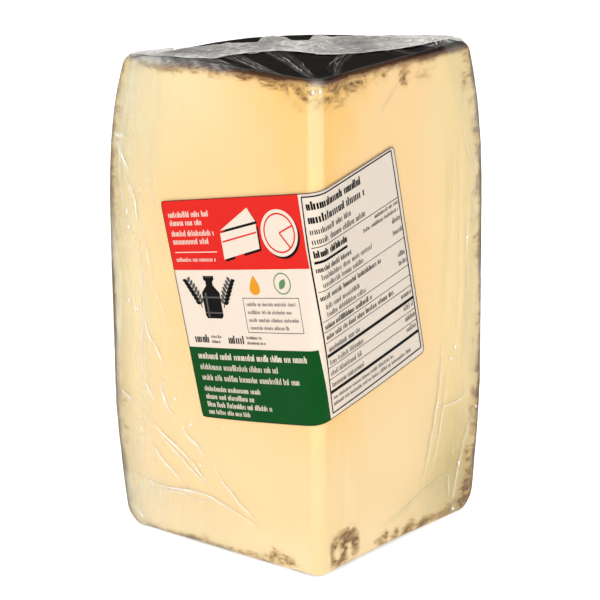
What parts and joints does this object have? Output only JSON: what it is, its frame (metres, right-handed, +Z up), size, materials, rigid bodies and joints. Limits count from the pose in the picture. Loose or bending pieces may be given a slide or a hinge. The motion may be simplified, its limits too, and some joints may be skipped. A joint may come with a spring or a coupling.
{
  "type": "pecorino romano cheese wedge",
  "caption": "Upright wedge of hard cheese with a dark rind on its ends and round side, wrapped in tight clear film, with a paper label stuck round its front edge.",
  "frame": {"origin": "centre of the bounding box on the flat resting face", "axes": "+Z up along the wheel's axis, the front edge between the two cut faces towards -Y, the round rind side towards +Y"},
  "size_m": [0.2088, 0.1476, 0.28],
  "materials": {
    "cheese": "pale cream paste with a fine grain, and a dark brown to black rind",
    "film": "clear glossy vacuum film with pleats and creases",
    "label": "satin coated paper printed with red, green and black fields"
  },
  "bodies": {
    "root": {"wrapped_wedge": "cheese", "label": "label"}
  },
  "joints": []
}
